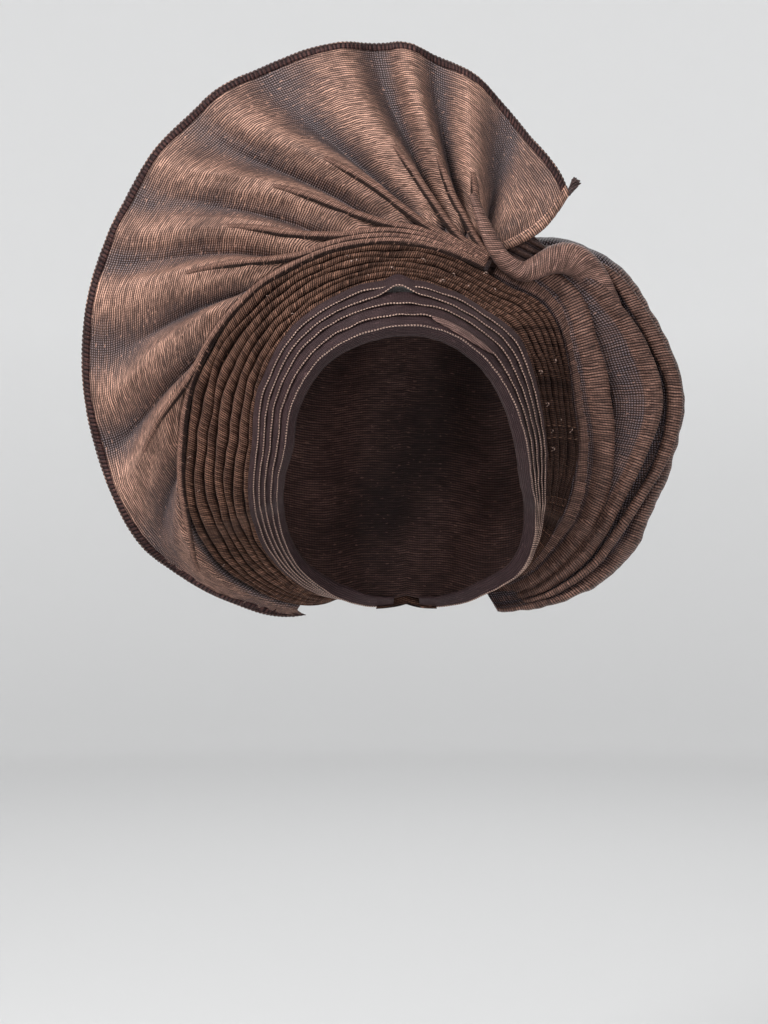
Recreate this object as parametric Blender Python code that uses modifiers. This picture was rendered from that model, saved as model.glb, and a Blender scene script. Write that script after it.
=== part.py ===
"""Tied gele head tie: a stiff woven head cloth wrapped in pleats round the head.

The wearer faces -Y, +Z is up, and the origin is the top of the hollow, where the
wearer's crown touches the wrap. A "turn" is an angle round the head's front-to-back
axis: 0 is the +X side, 90 the top, 180 the -X side and 270 the nape. At each turn a
pleat band runs outward and back from the rim that frames the face. The fan springs
from the band's outer edge on the -X side and over the top, the puff on the +X side.
"""
import math
from collections import namedtuple

import bpy
from mathutils import Vector

# Driving dimensions, in metres

HEAD_HALF_WIDTH = 0.075      # head's axis to the side of the hollow
HEAD_HALF_DEPTH = 0.095      # head's axis to the forehead
HEAD_RISE = 0.100            # head's axis to the crown
RIM_STAND = 0.004            # the rim stands this far in front of the skin
PLEAT_BAND = 0.062           # outward reach of the pleat band
PLEAT_LEAN = 0.040           # how far the band runs back over that reach
PLEAT_DEPTH = 0.009          # front to back depth of one pleat
FAN_REACH = 0.120            # fan's reach past the band
FAN_LEAN = 0.028             # how far the fan's edge lies behind the band
FAN_FOLD = 0.0085            # height of a fan fold
FAN_LIFT = 0.016             # how far above the band the upper folds gather
PUFF_REACH = 0.066           # side puff's reach past the band
PUFF_LEAN = 0.028            # how far the puff's lip lies behind the band
PUFF_RISE = 0.014            # how far the puff swells in front of its lip
PUFF_FOLD = 0.0055           # height of a fold that lies on the puff
KNOT_REACH = 0.028           # outward reach of the knot roll's path
KNOT_STAND = 0.014           # how far the roll's path lies in front of the band
KNOT_RADIUS = 0.0055         # radius of the rolled cloth in the knot
NAPE_OVERLAP = 0.0015        # how far the nape tuck reaches past the band's edges
NAPE_PLACES = [0.0, 0.15, 0.5, 0.85, 1.0]   # points of its section, as shares of the band's width
TUFT_LENGTH = 0.009          # frayed tuft on the fan's corner
TUFT_RADIUS = 0.0022
TUFT_SIZES = [(0.0, 0.8), (0.35, 0.6), (0.7, 1.0), (1.0, 0.45)]   # shares of its length and radius
TUFT_BEND = 0.3              # how far its end bends aside, as a share of its length
TUFT_SIDES = 6
CLOTH = 0.002                # a wrapped or lined wall
PLEAT_CLOTH = 0.0016         # a folded wall in a pleat
LAYER_CLOTH = 0.0012         # a flat brow layer
LAYER_STEP = 0.0012          # a layer's free edge stands this far forward
LAYER_LAP = 0.5              # a layer reaches this share of its pitch under the next
RIM_HEM = 0.0042             # the innermost layer's hem turns back this far
GAP = 0.0003                 # clearance between pieces
SEAT_GAP = 0.0009            # clearance of the fan and puff beside the last pleat

# Counts of stations and columns

BAND_STATIONS = 26
FAN_COLUMNS_PER_FOLD = 3
CROWN_RINGS = 7
KNOT_STATIONS = 13
NAPE_STATIONS = 7

NAPE_TURN = -90
PLEAT_START = -85
PLEAT_END = 265
PUFF_START = -60
PUFF_END = 64
PUFF_FOLD_START = -46
PUFF_FOLD_END = 52
NAPE_START = 260
NAPE_END = 280

# Tables: lengths are shares of the sizes above, turns are in degrees

Station = namedtuple("Station", "turn rim_radius rim_depth band_out band_back pleat_depth")
BAND = [
    Station(-90, 0.92, -0.87, -0.50, 0.32, 0.42),
    Station(-75, 1.00, -0.79, -0.32, 0.52, 0.50),
    Station(-60, 1.07, -0.54, -0.04, 0.68, 0.70),
    Station(-45, 1.15, -0.33, 0.08, 0.62, 0.50),
    Station(-30, 1.08, -0.10, 0.25, 0.74, 0.45),
    Station(-15, 0.94, 0.18, 0.47, 1.06, 0.60),
    Station(0, 0.87, 0.38, 0.56, 1.10, 0.90),
    Station(15, 0.82, 0.49, 0.60, 0.98, 1.00),
    Station(30, 0.775, 0.56, 0.70, 0.92, 1.00),
    Station(45, 0.73, 0.62, 0.82, 0.94, 0.80),
    Station(60, 0.685, 0.69, 0.74, 0.95, 0.70),
    Station(75, 0.65, 0.75, 0.75, 0.93, 0.70),
    Station(90, 0.635, 0.77, 0.81, 0.93, 0.70),
    Station(105, 0.655, 0.755, 0.86, 0.93, 0.70),
    Station(120, 0.715, 0.71, 0.88, 0.93, 0.70),
    Station(135, 0.795, 0.635, 0.92, 0.92, 0.85),
    Station(150, 0.855, 0.55, 0.96, 0.92, 1.00),
    Station(165, 0.90, 0.455, 0.99, 0.95, 1.00),
    Station(180, 0.92, 0.35, 1.00, 1.00, 1.00),
    Station(195, 1.01, 0.15, 0.94, 0.76, 1.00),
    Station(210, 1.09, -0.11, 0.76, 0.60, 1.00),
    Station(225, 1.11, -0.33, 0.48, 0.60, 0.90),
    Station(240, 1.06, -0.54, 0.20, 0.68, 0.70),
    Station(255, 1.00, -0.79, -0.28, 0.54, 0.50),
    Station(270, 0.92, -0.87, -0.50, 0.32, 0.42),
]

# Where each layer or pleat starts across the band, as shares of its width
FoldLine = namedtuple("FoldLine", "turn l1 l2 l3 l4 l5 p1 p2 p3 p4 p5 p6 p7 end")
FOLD_LINES = [
    FoldLine(-90, 0.0, .08, .16, .24, .32, .40, .49, .58, .67, .76, .84, .92, 1.0),
    FoldLine(0, 0.0, .08, .16, .24, .31, .38, .47, .56, .65, .74, .83, .91, 1.0),
    FoldLine(90, 0.0, .13, .26, .36, .46, .55, .61, .67, .73, .80, .87, .935, 1.0),
    FoldLine(180, 0.0, .07, .14, .20, .26, .32, .40, .49, .59, .69, .79, .89, 1.0),
    FoldLine(270, 0.0, .08, .16, .24, .32, .40, .49, .58, .67, .76, .84, .92, 1.0),
]
LAYER_COUNT = 5
PLEAT_COUNT = 7

# The fan's outline past the band
FanEdge = namedtuple("FanEdge", "turn reach lean")
FAN_EDGE = [
    FanEdge(56, 0.46, -0.15),
    FanEdge(62, 0.575, 0.1),
    FanEdge(68, 0.66, 0.45),
    FanEdge(74, 0.77, 0.65),
    FanEdge(80, 0.87, 0.85),
    FanEdge(90, 0.975, 1.0),
    FanEdge(100, 0.985, 0.95),
    FanEdge(110, 0.97, 0.9),
    FanEdge(120, 0.93, 0.9),
    FanEdge(130, 0.85, 0.85),
    FanEdge(140, 0.755, 0.8),
    FanEdge(150, 0.675, 0.7),
    FanEdge(160, 0.59, 0.55),
    FanEdge(170, 0.505, 0.45),
    FanEdge(180, 0.425, 0.35),
    FanEdge(190, 0.33, 0.25),
    FanEdge(200, 0.255, 0.2),
    FanEdge(210, 0.16, 0.15),
    FanEdge(220, 0.105, 0.1),
    FanEdge(230, 0.08, 0.05),
    FanEdge(240, 0.04, 0.0),
]

# Ridges and valleys of the fan, from the nape round to the free corner
FanFold = namedtuple("FanFold", "gather edge rise lift sweep")
FAN_FOLDS = [
    FanFold(235, 238, 0.0, 0.12, 1.0),
    FanFold(222, 228, -0.3, 0.12, 1.5),
    FanFold(204, 215, 0.5, 0.12, 2.0),
    FanFold(184, 202, -0.7, 0.12, 2.0),
    FanFold(168, 188, 1.0, 0.12, 2.5),
    FanFold(156, 179, -0.8, 0.12, 2.5),
    FanFold(144, 171, 0.8, 0.12, 2.5),
    FanFold(135, 163, -0.8, 0.12, 2.3),
    FanFold(128, 153, 1.0, 0.14, 2.0),
    FanFold(122, 148, -0.6, 0.16, 1.8),
    FanFold(116, 143, 0.7, 0.2, 1.7),
    FanFold(110, 137, -0.6, 0.3, 1.7),
    FanFold(103, 131, 0.9, 0.45, 1.8),
    FanFold(97, 123.5, -0.8, 0.65, 2.0),
    FanFold(92, 118, 0.8, 0.85, 2.0),
    FanFold(88, 110.5, -1.0, 1.0, 2.0),
    FanFold(84, 100, 1.0, 1.0, 2.0),
    FanFold(80.5, 94.5, -1.0, 1.0, 2.0),
    FanFold(77.5, 90, 1.0, 1.0, 2.0),
    FanFold(75, 86, -1.0, 1.0, 2.0),
    FanFold(72.5, 80.5, 1.0, 0.95, 2.0),
    FanFold(70, 73, -1.0, 0.85, 1.2),
    FanFold(68, 66, 0.3, 0.75, 1.5),
    FanFold(66, 57.8, 0.0, 0.62, 3.5),
]
SEAT_ROWS = [1.0, 0.4, 0.0]  # rows behind the last pleat's fold, as shares of its depth
FAN_SHARES = [0.0, 0.06, 0.14, 0.25, 0.38, 0.53, 0.68, 0.84, 1.0]

# The side puff's outline past the band, and the paths of its three folds across it
PuffRow = namedtuple("PuffRow", "turn reach lean swell inner middle outer")
PUFF = [
    PuffRow(-66, 0.26, -0.6, 0.4, 0.20, 0.42, 0.64),
    PuffRow(-52, 0.32, -0.3, 0.6, 0.20, 0.42, 0.64),
    PuffRow(-42, 0.47, 0.0, 0.8, 0.20, 0.40, 0.60),
    PuffRow(-30, 0.67, 0.28, 1.0, 0.21, 0.40, 0.59),
    PuffRow(-22, 0.715, 0.34, 1.0, 0.22, 0.41, 0.60),
    PuffRow(-12, 0.77, 0.55, 1.0, 0.22, 0.44, 0.68),
    PuffRow(-2, 0.86, 0.76, 1.0, 0.19, 0.52, 0.80),
    PuffRow(9, 0.985, 0.90, 1.0, 0.17, 0.62, 0.84),
    PuffRow(15, 1.0, 1.0, 1.0, 0.16, 0.63, 0.84),
    PuffRow(22, 0.94, 1.0, 1.0, 0.17, 0.62, 0.82),
    PuffRow(30, 0.87, 1.0, 1.0, 0.17, 0.58, 0.79),
    PuffRow(38, 0.80, 1.0, 0.9, 0.20, 0.50, 0.76),
    PuffRow(46, 0.68, 1.0, 0.8, 0.22, 0.46, 0.70),
    PuffRow(55, 0.58, 1.0, 0.55, 0.26, 0.46, 0.66),
    PuffRow(62, 0.42, 1.0, 0.35, 0.30, 0.50, 0.70),
    PuffRow(70, 0.24, 1.0, 0.2, 0.34, 0.54, 0.74),
]
# A puff fold's section: places across it in half widths, and shares of its height
PUFF_FOLD_SHAPE = [(-1.0, 0.0), (-0.35, 0.75), (0.3, 1.0), (1.0, 0.25)]
PUFF_FOLD_SPAN = 0.05        # share of the reach over which a fold's slope is taken
# The puff's section: share of its reach, and share of its swell in front of the lip
PUFF_SECTION = [
    (0.06, 0.05), (0.16, 0.25), (0.32, 0.55), (0.50, 0.80), (0.68, 0.97),
    (0.84, 1.00), (0.94, 0.75), (0.99, 0.25), (0.99, -0.35), (0.92, -0.85),
    (0.78, -1.10), (0.58, -1.15),
]
PUFF_FRONT_ROWS = 7          # rows of the section before the lip turns back
PUFF_FOLD_HALF = 0.075       # half the width of a puff fold, as a share of the reach

# The knot roll's path: shares of its reach past the band, its stand and its radius
KnotPoint = namedtuple("KnotPoint", "turn reach stand size")
KNOT = [
    KnotPoint(76.5, 1.10, 0.56, 0.35),
    KnotPoint(73, 0.68, 0.62, 0.6),
    KnotPoint(68.5, 0.30, 0.60, 0.8),
    KnotPoint(62.5, 0.06, 0.50, 0.9),
    KnotPoint(57, 0.08, 0.48, 1.0),
    KnotPoint(53, 0.30, 0.58, 1.1),
    KnotPoint(50.5, 0.52, 0.74, 1.0),
]
KNOT_ARC_START = -150
KNOT_ARC_END = 110
KNOT_ARC_POINTS = 6

CROWN_CURL = 119             # largest angle of the wrap's curve from crown to edge

COLOURS = {
    "crown": (0.105, 0.052, 0.048),
    "layer": (0.115, 0.055, 0.052),
    "pleat": (0.175, 0.085, 0.068),
    "fan": (0.235, 0.125, 0.100),
    "puff": (0.195, 0.098, 0.082),
    "tuft": (0.055, 0.026, 0.026),
}


def smooth_value(rows, column, place):
    """A table column's value at a place between rows, on a smooth curve."""
    places = [row[0] for row in rows]
    values = [getattr(row, column) for row in rows]
    place = min(max(place, places[0]), places[-1])
    last = len(rows) - 2
    k = max(i for i in range(last + 1) if places[i] <= place)

    def slope(i):
        low, high = max(i - 1, 0), min(i + 1, len(rows) - 1)
        return (values[high] - values[low]) / (places[high] - places[low])

    step = places[k + 1] - places[k]
    t = (place - places[k]) / step
    return ((2 * t**3 - 3 * t**2 + 1) * values[k]
            + (t**3 - 2 * t**2 + t) * step * slope(k)
            + (3 * t**2 - 2 * t**3) * values[k + 1]
            + (t**3 - t**2) * step * slope(k + 1))


def steps(start, end, count):
    """Evenly spaced values from start to end."""
    return [start + (end - start) * i / (count - 1) for i in range(count)]


def head_radius(turn):
    """Radius of the head's outline, seen from the front, at a turn."""
    angle = math.radians(turn)
    return 1 / math.hypot(math.cos(angle) / HEAD_HALF_WIDTH, math.sin(angle) / HEAD_RISE)


class Section:
    """The pleat band's section at one turn, with its own across and forward axes."""

    def __init__(self, turn):
        place = (turn + 90) % 360 - 90
        angle = math.radians(place)
        self.outward = Vector((math.cos(angle), 0, math.sin(angle)))
        self.back = Vector((0, 1, 0))
        axis = Vector((0, 0, -HEAD_RISE))
        radius = head_radius(place) * smooth_value(BAND, "rim_radius", place)
        depth = HEAD_HALF_DEPTH * smooth_value(BAND, "rim_depth", place)
        stand = math.copysign(min(RIM_STAND, abs(depth)), depth)
        self.rim = axis + self.outward * radius - self.back * (depth + stand)
        out = PLEAT_BAND * smooth_value(BAND, "band_out", place)
        lean = PLEAT_LEAN * smooth_value(BAND, "band_back", place)
        self.width = math.hypot(out, lean)
        self.across = (self.outward * out + self.back * lean) / self.width
        self.forward = (self.outward * lean - self.back * out) / self.width
        self.depth = PLEAT_DEPTH * smooth_value(BAND, "pleat_depth", place)
        self.edge = self.rim + self.across * self.width

    def point(self, across, forward):
        return self.rim + self.across * across + self.forward * forward

    def beyond(self, reach, lean):
        """A point outward and back of the band's outer edge, past the last pleat."""
        start = self.point(self.width + CLOTH / 2 + SEAT_GAP, 0)
        return start + self.outward * reach + self.back * lean


def band_turns():
    """Turns of the band's stations."""
    return steps(PLEAT_START, PLEAT_END, BAND_STATIONS)


def seat_point(turn, behind, clear):
    """A point just past the last pleat, on the straight facets that the pleats have."""
    turns = band_turns()
    k = max(i for i in range(len(turns) - 1) if turns[i] <= turn)
    ends = []
    for station in turns[k:k + 2]:
        section = Section(station)
        ends.append(section.point(section.width + clear, -section.depth * behind))
    return ends[0].lerp(ends[1], (turn - turns[k]) / (turns[k + 1] - turns[k]))


def thicken(line, wall):
    """A closed outline round an open line of (across, forward) points."""
    left, right = [], []
    for i, (a, f) in enumerate(line):
        a0, f0 = line[max(i - 1, 0)]
        a1, f1 = line[min(i + 1, len(line) - 1)]
        length = math.hypot(a1 - a0, f1 - f0)
        na, nf = -(f1 - f0) / length, (a1 - a0) / length
        left.append((a + na * wall / 2, f + nf * wall / 2))
        right.append((a - na * wall / 2, f - nf * wall / 2))
    return left + right[::-1]


def add_object(name, vertices, faces, colour, collection):
    """A mesh object with its own material, in the part's collection."""
    mesh = bpy.data.meshes.new(name)
    mesh.from_pydata([tuple(v) for v in vertices], [], faces)
    mesh.validate()
    mesh.shade_smooth()
    material = bpy.data.materials.new(name)
    material.use_nodes = True
    shader = material.node_tree.nodes["Principled BSDF"]
    shader.inputs["Base Color"].default_value = (*COLOURS[colour], 1)
    shader.inputs["Roughness"].default_value = 0.55
    shader.inputs["Metallic"].default_value = 0.0
    mesh.materials.append(material)
    piece = bpy.data.objects.new(name, mesh)
    collection.objects.link(piece)
    return piece


def loft(name, rings, colour, collection):
    """A closed solid through rings with the same number of points, capped at the ends."""
    count = len(rings[0])
    vertices = [p for ring in rings for p in ring]
    faces = []
    for i in range(len(rings) - 1):
        for j in range(count):
            k = (j + 1) % count
            a, b = i * count + j, i * count + k
            faces.append((a, b, b + count, a + count))
    faces.append(tuple(range(count))[::-1])
    faces.append(tuple((len(rings) - 1) * count + j for j in range(count)))
    return face_outward(add_object(name, vertices, faces, colour, collection))


def face_outward(piece):
    """Turns a closed mesh's faces to the outside."""
    mesh = piece.data
    mesh.calc_loop_triangles()
    volume = 0
    for triangle in mesh.loop_triangles:
        a, b, c = (mesh.vertices[i].co for i in triangle.vertices)
        volume += a.dot(b.cross(c))
    if volume < 0:
        mesh.flip_normals()
    return piece


def sheet(name, grid, wall, colour, collection):
    """A cloth wall: an open surface through rows of points, made thick by Solidify."""
    width = len(grid[0])
    vertices = [p for row in grid for p in row]
    faces = []
    for i in range(len(grid) - 1):
        for j in range(width - 1):
            a = i * width + j
            faces.append((a, a + 1, a + 1 + width, a + width))
    piece = add_object(name, vertices, faces, colour, collection)
    solid = piece.modifiers.new("Cloth", "SOLIDIFY")
    solid.thickness = wall
    solid.offset = 0
    return piece


def make_crown(collection):
    """The plain wrap over the crown and the back of the head, open to the face and below."""
    turns = [NAPE_TURN] + band_turns()
    columns = len(turns)
    vertices = [Vector((0, 0, 0))]
    edge_line = []
    for turn in turns:
        section = Section(turn)
        behind = max(LAYER_CLOTH + LAYER_STEP, section.depth * facing_back(section)) + CLOTH + 2 * GAP
        edge_line.append(section.point(LAYER_CLOTH * 1.8, -behind))
    for i in range(1, CROWN_RINGS + 1):
        share = i / CROWN_RINGS
        for edge in edge_line:
            curl = math.acos(max(math.cos(math.radians(CROWN_CURL)), 1 + edge.z / HEAD_RISE))
            angle = curl * share
            flat = math.sin(angle) / math.sin(curl)
            drop = (1 - math.cos(angle)) / (1 - math.cos(curl))
            vertices.append(Vector((edge.x * flat, edge.y * flat, edge.z * drop)))
    faces = []
    for j in range(columns):
        k = (j + 1) % columns
        faces.append((0, 1 + k, 1 + j))
        for i in range(CROWN_RINGS - 1):
            a, b = 1 + i * columns + j, 1 + i * columns + k
            faces.append((a, b, b + columns, a + columns))
    piece = add_object("crown_wrap", vertices, faces, "crown", collection)
    solid = piece.modifiers.new("Cloth", "SOLIDIFY")
    solid.thickness = CLOTH
    solid.offset = 1
    return piece


def facing_back(section):
    """How much the band faces the back, from 0 to 1."""
    return max(0.0, section.forward.y)


def fold_edges(place):
    """Distances across the band, as shares, where each layer and pleat starts."""
    names = FoldLine._fields[1:]
    return [smooth_value(FOLD_LINES, name, place) for name in names]


def layer_line(pitch, wall, first, last):
    """A brow layer's section: its free edge forward, its other edge under the next."""
    near = wall / 2 + GAP / 2
    under = pitch - near if last else pitch * (1 + LAYER_LAP)
    drop = -LAYER_STEP * 0.2 if last else -LAYER_STEP * 2
    line = [(near, LAYER_STEP), (pitch * 0.55, LAYER_STEP * 0.2), (under, drop)]
    if first:
        hem = [(near - wall * 0.3, -RIM_HEM), (near - wall, -RIM_HEM * 0.4)]
        return hem + line
    return line


def pleat_line(pitch, wall, depth):
    """A pleat's section: up from behind, over a rounded fold and a little way back."""
    near = wall / 2 + GAP / 2
    span = pitch - 2 * near
    return [
        (near, -0.42 * depth),
        (near + span * 0.22, -wall * 0.9),
        (near + span * 0.72, -wall * 0.55),
        (near + span, -0.40 * depth),
        (near + span, -depth),
    ]


def make_band(collection):
    """The flat brow layers next to the face and the pleats outside them."""
    turns = band_turns()
    sections = [Section(turn) for turn in turns]
    edges = [fold_edges(turn) for turn in turns]
    for k in range(LAYER_COUNT + PLEAT_COUNT):
        rings = []
        for section, edge in zip(sections, edges):
            start = section.width * edge[k]
            pitch = section.width * (edge[k + 1] - edge[k])
            if k < LAYER_COUNT:
                wall = min(LAYER_CLOTH, pitch * 0.42)
                line = layer_line(pitch, wall, k == 0, k == LAYER_COUNT - 1)
            else:
                wall = min(PLEAT_CLOTH, (pitch - GAP) * 0.36)
                line = pleat_line(pitch, wall, section.depth)
            outline = thicken(line, wall)
            rings.append([section.point(start + a, f) for a, f in outline])
        if k < LAYER_COUNT:
            loft(f"brow_layer_{k + 1}", rings, "layer", collection)
        else:
            loft(f"pleat_{k - LAYER_COUNT + 1}", rings, "pleat", collection)


def fan_turn(fold, share):
    """Turn of a fold at a share of the way from its gather to the selvedge."""
    return fold.gather + (fold.edge - fold.gather) * (1 - (1 - share) ** fold.sweep)


def fan_base(fold, share):
    """A point of the fan before its folds are raised, and the way they rise."""
    turn = fan_turn(fold, share)
    section = Section(turn)
    lift = FAN_LIFT * fold.lift
    full = FAN_REACH * smooth_value(FAN_EDGE, "reach", turn)
    lean = FAN_LEAN * smooth_value(FAN_EDGE, "lean", turn)
    reach = lift + (max(full, lift + CLOTH) - lift) * share
    rise_way = (section.forward * (1 - share) - section.back * share).normalized()
    return section.beyond(reach, lean * share), rise_way


def fan_height(share):
    """Height of the folds along their length, as a share of the full height."""
    if share < FAN_SHARES[2]:
        return 0.85 * share / FAN_SHARES[2]
    return 0.85 + 0.15 * math.sin(math.pi * share) - 0.35 * share**2


def blend_folds(low, high, mix):
    """A fold between two rows of the table, without its rise."""
    values = [a + (b - a) * mix for a, b in zip(low, high)]
    return FanFold(*values)


def fan_relief(k, share):
    """Height of a fold at a share, never more than its distance to its neighbours."""
    fold = FAN_FOLDS[k]
    here = fan_base(fold, share)[0]
    room = FAN_FOLD
    for other in (k - 1, k + 1):
        if 0 <= other < len(FAN_FOLDS):
            there = fan_base(FAN_FOLDS[other], share)[0]
            room = min(room, (there - here).length * 0.8)
    return fold.rise * min(FAN_FOLD * fan_height(share), room)


def make_fan(collection):
    """The fan: one rippled sheet, gathered at the band and open at its selvedge."""
    columns = []
    per = FAN_COLUMNS_PER_FOLD
    for k in range(len(FAN_FOLDS) - 1):
        for i in range(per + (k == len(FAN_FOLDS) - 2)):
            columns.append((k, i / per))
    seat = CLOTH / 2 + SEAT_GAP
    grid = []
    for k, mix in columns:
        fold = blend_folds(FAN_FOLDS[k], FAN_FOLDS[k + 1], mix)
        column = [seat_point(fold.gather, behind, seat) for behind in SEAT_ROWS]
        ease = (1 - math.cos(math.pi * mix)) / 2
        for share in FAN_SHARES:
            base, rise_way = fan_base(fold, share)
            height = fan_relief(k, share) * (1 - ease) + fan_relief(k + 1, share) * ease
            column.append(base + rise_way * height)
        grid.append(column)
    return sheet("fan", grid, CLOTH, "fan", collection)


def puff_point(turn, share, swell):
    """A point of the puff's wall: share of its reach, and of its swell to the front."""
    section = Section(turn)
    reach = PUFF_REACH * smooth_value(PUFF, "reach", turn)
    lean = PUFF_LEAN * smooth_value(PUFF, "lean", turn)
    height = PUFF_RISE * smooth_value(PUFF, "swell", turn) * swell
    rise_way = (section.forward * (1 - share) - section.back * share).normalized()
    return section.beyond(reach * share, lean * share) + rise_way * height


def puff_swell(share):
    """The puff's swell at a share of its reach, on its front side."""
    front = PUFF_SECTION[:PUFF_FRONT_ROWS]
    for (s0, h0), (s1, h1) in zip(front, front[1:]):
        if s0 <= share <= s1:
            return h0 + (h1 - h0) * (share - s0) / (s1 - s0)
    return front[0][1]


def front_point(turn, share):
    """A point on the puff's front at a share of its reach."""
    return puff_point(turn, share, puff_swell(share))


def puff_turns():
    """The puff's stations: the band's own within its reach, and one between each two."""
    turns = [turn for turn in band_turns() if PUFF_START <= turn <= PUFF_END]
    between = [(a + b) / 2 for a, b in zip(turns, turns[1:])]
    return sorted(turns + between)


def make_puff(collection):
    """The side puff: a wall that swells forward and rolls over its lip to the back."""
    seat = CLOTH / 2 + SEAT_GAP
    grid = []
    for turn in puff_turns():
        row = [seat_point(turn, behind, seat) for behind in SEAT_ROWS]
        row += [puff_point(turn, share, swell) for share, swell in PUFF_SECTION]
        grid.append(row)
    return sheet("side_puff", grid, CLOTH, "puff", collection)


def make_puff_folds(collection):
    """Three folds of cloth that lie along the front of the puff."""
    for number, column in enumerate(("inner", "middle", "outer"), start=1):
        rings = []
        for turn in puff_turns():
            if not PUFF_FOLD_START <= turn <= PUFF_FOLD_END:
                continue
            centre = smooth_value(PUFF, column, turn)
            stand = CLOTH / 2 + PLEAT_CLOTH / 2 + GAP * 3
            arch = PUFF_FOLD * smooth_value(PUFF, "swell", turn)
            section = Section(turn)
            normals, line = [], []
            for place, rise in PUFF_FOLD_SHAPE:
                share = centre + place * PUFF_FOLD_HALF
                base = front_point(turn, share)
                near = front_point(turn, share - PUFF_FOLD_SPAN)
                far = front_point(turn, share + PUFF_FOLD_SPAN)
                along = (far - near).normalized()
                normal = along.cross(section.outward.cross(section.back)).normalized()
                if normal.y > 0:
                    normal = -normal
                line.append(base + normal * (stand + arch * rise))
                normals.append(normal)
            rings.append(thicken_points(line, normals[1], PLEAT_CLOTH))
        loft(f"puff_fold_{number}", rings, "puff", collection)


def thicken_points(line, side, wall):
    """A closed ring round an open line of points in space."""
    top, bottom = [], []
    for i, p in enumerate(line):
        along = (line[min(i + 1, len(line) - 1)] - line[max(i - 1, 0)]).normalized()
        normal = (side - along * side.dot(along)).normalized()
        top.append(p + normal * wall / 2)
        bottom.append(p - normal * wall / 2)
    return top + bottom[::-1]


def make_knot(collection):
    """The rolled fold of the knot: an open roll along a curved path."""
    path, sizes = [], []
    for turn in steps(KNOT[0].turn, KNOT[-1].turn, KNOT_STATIONS):
        rows = KNOT[::-1]
        section = Section(turn)
        reach = KNOT_REACH * smooth_value(rows, "reach", turn)
        stand = KNOT_STAND * smooth_value(rows, "stand", turn)
        path.append(section.beyond(reach, 0) + section.forward * stand)
        sizes.append(smooth_value(rows, "size", turn))
    rings = []
    for i, p in enumerate(path):
        along = (path[min(i + 1, len(path) - 1)] - path[max(i - 1, 0)]).normalized()
        front = Vector((0, -1, 0))
        front = (front - along * front.dot(along)).normalized()
        side = along.cross(front)
        radius = KNOT_RADIUS * sizes[i] - PLEAT_CLOTH / 2
        outer, inner = [], []
        for degrees in steps(KNOT_ARC_START, KNOT_ARC_END, KNOT_ARC_POINTS):
            angle = math.radians(degrees)
            way = front * math.cos(angle) + side * math.sin(angle)
            outer.append(p + way * (radius + PLEAT_CLOTH / 2))
            inner.append(p + way * (radius - PLEAT_CLOTH / 2))
        rings.append(outer + inner[::-1])
    return loft("knot_roll", rings, "puff", collection)


def make_nape(collection):
    """The plain tuck at the nape that covers the ends of the pleats."""
    rings = []
    for turn in steps(NAPE_START, NAPE_END, NAPE_STATIONS):
        section = Section(turn)
        over = LAYER_STEP + LAYER_CLOTH / 2 + CLOTH / 2 + GAP
        line = []
        for place in NAPE_PLACES:
            across = section.width * place + NAPE_OVERLAP * (2 * place - 1)
            line.append((across, over + CLOTH * math.sin(math.pi * place)))
        outline = thicken(line, CLOTH)
        rings.append([section.point(a, f) for a, f in outline])
    return loft("nape_tuck", rings, "crown", collection)


def make_tuft(collection):
    """The frayed tuft at the fan's free corner."""
    fold = FAN_FOLDS[-1]
    corner, rise_way = fan_base(fold, 1.0)
    inner, _ = fan_base(fold, FAN_SHARES[-2])
    way = (corner - inner).normalized()
    side = way.cross(rise_way).normalized()
    start = corner + way * (CLOTH / 2 + GAP)
    rings = []
    for share, size in TUFT_SIZES:
        centre = start + way * TUFT_LENGTH * share + side * TUFT_LENGTH * TUFT_BEND * share**2
        ring = []
        for i in range(TUFT_SIDES):
            angle = 2 * math.pi * i / TUFT_SIDES
            ring.append(centre + (rise_way * math.cos(angle) + side * math.sin(angle))
                        * TUFT_RADIUS * size)
        rings.append(ring)
    return loft("corner_tuft", rings, "tuft", collection)


def main():
    for piece in list(bpy.data.objects):
        bpy.data.objects.remove(piece)
    collection = bpy.data.collections.new("gele_head_tie")
    bpy.context.scene.collection.children.link(collection)
    make_crown(collection)
    make_band(collection)
    make_fan(collection)
    make_puff(collection)
    make_puff_folds(collection)
    make_knot(collection)
    make_nape(collection)
    make_tuft(collection)


main()
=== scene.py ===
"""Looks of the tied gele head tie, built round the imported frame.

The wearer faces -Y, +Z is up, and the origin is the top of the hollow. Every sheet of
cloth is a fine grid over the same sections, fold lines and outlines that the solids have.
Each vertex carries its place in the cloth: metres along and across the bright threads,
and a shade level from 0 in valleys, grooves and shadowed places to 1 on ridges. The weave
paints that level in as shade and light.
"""
import random
from collections import namedtuple
from functools import lru_cache
from math import acos, copysign, cos, exp, floor, hypot, pi, radians, sin

import bpy
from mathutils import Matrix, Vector, noise


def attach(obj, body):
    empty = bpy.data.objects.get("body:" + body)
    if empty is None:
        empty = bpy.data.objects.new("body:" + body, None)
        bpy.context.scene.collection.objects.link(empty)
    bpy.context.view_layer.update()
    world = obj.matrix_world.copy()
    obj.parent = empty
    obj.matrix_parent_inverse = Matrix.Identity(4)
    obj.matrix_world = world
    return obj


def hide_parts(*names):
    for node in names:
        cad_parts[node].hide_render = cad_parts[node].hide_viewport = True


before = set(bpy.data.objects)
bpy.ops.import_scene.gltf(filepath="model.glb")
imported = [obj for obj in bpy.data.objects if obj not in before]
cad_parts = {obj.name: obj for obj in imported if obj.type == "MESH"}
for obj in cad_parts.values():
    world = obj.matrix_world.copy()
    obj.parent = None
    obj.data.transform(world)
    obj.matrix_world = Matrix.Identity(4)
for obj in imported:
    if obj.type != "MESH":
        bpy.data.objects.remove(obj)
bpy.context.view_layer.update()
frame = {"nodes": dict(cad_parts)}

# Driving dimensions of the solids, in metres

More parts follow.
